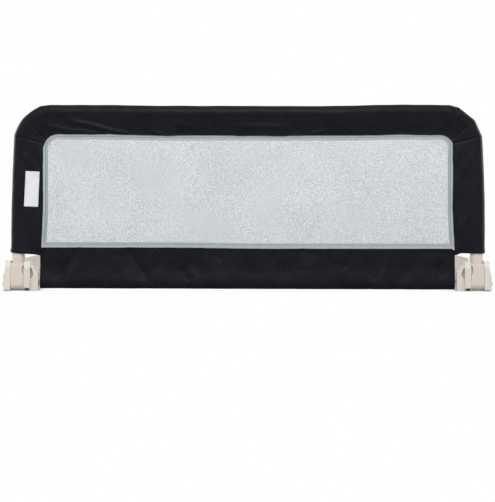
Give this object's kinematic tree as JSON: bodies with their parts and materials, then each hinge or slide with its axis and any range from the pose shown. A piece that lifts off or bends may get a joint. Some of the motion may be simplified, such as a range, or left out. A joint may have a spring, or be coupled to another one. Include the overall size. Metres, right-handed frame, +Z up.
{
  "type": "folding bed guard rail",
  "caption": "Fabric-covered tube guard with a net window, hinged on moulded brackets whose L-shaped base tubes lie under a mattress.",
  "frame": {"origin": "on the floor, under the middle of the whole rail", "axes": "+X along the side of the bed, +Y from the guard towards the middle of the bed, +Z up"},
  "size_m": [1.0662, 0.5204, 0.4008],
  "materials": {
    "cream_plastic": "satin",
    "cream_paint": "satin",
    "black_fabric": "woven",
    "net_knit": "knitted",
    "binding_tape": "woven tape",
    "white_label": "satin weave",
    "bright_steel": "zinc",
    "grip_rubber": "matt"
  },
  "bodies": {
    "base": {"hinge_bracket_left": "cream_plastic", "hinge_bracket_right": "cream_plastic", "base_tube_left": "cream_paint", "base_tube_right": "cream_paint", "arm_grip_left": "grip_rubber", "arm_grip_right": "grip_rubber", "rear_grip_left": "grip_rubber", "rear_grip_right": "grip_rubber", "arm_screw_left": "bright_steel", "arm_screw_right": "bright_steel", "joiner_screw_left": "bright_steel", "joiner_screw_right": "bright_steel", "base_joiner": "cream_plastic"},
    "pivot": {"pivot_pin_left": "bright_steel", "pivot_pin_right": "bright_steel", "pin_clip_left": "bright_steel", "pin_clip_right": "bright_steel", "pin_cap_left": "cream_plastic", "pin_cap_right": "cream_plastic"},
    "guard": {"hinge_foot_left": "cream_plastic", "hinge_foot_right": "cream_plastic", "foot_screw_left": "bright_steel", "foot_screw_right": "bright_steel", "guard_leg_left": "cream_paint", "guard_leg_right": "cream_paint", "top_screw_left": "bright_steel", "top_screw_right": "bright_steel", "side_cover_left": "black_fabric", "side_cover_right": "black_fabric", "guard_top_tube": "cream_paint", "top_cover": "black_fabric", "net_panel": "net_knit", "net_binding": "binding_tape", "cover_skirt": "black_fabric", "side_label": "white_label"}
  },
  "joints": [
    {"name": "guard_fold", "type": "hinge", "parent": "base", "child": "pivot", "pos_m": [0, -0.2437, 0.0165], "axis": [1, 0, 0], "range_deg": [0, 180]},
    {"name": "guard_lift", "type": "slide", "parent": "pivot", "child": "guard", "axis": [0, 0, 1], "range_m": [0, 0.007]}
  ]
}
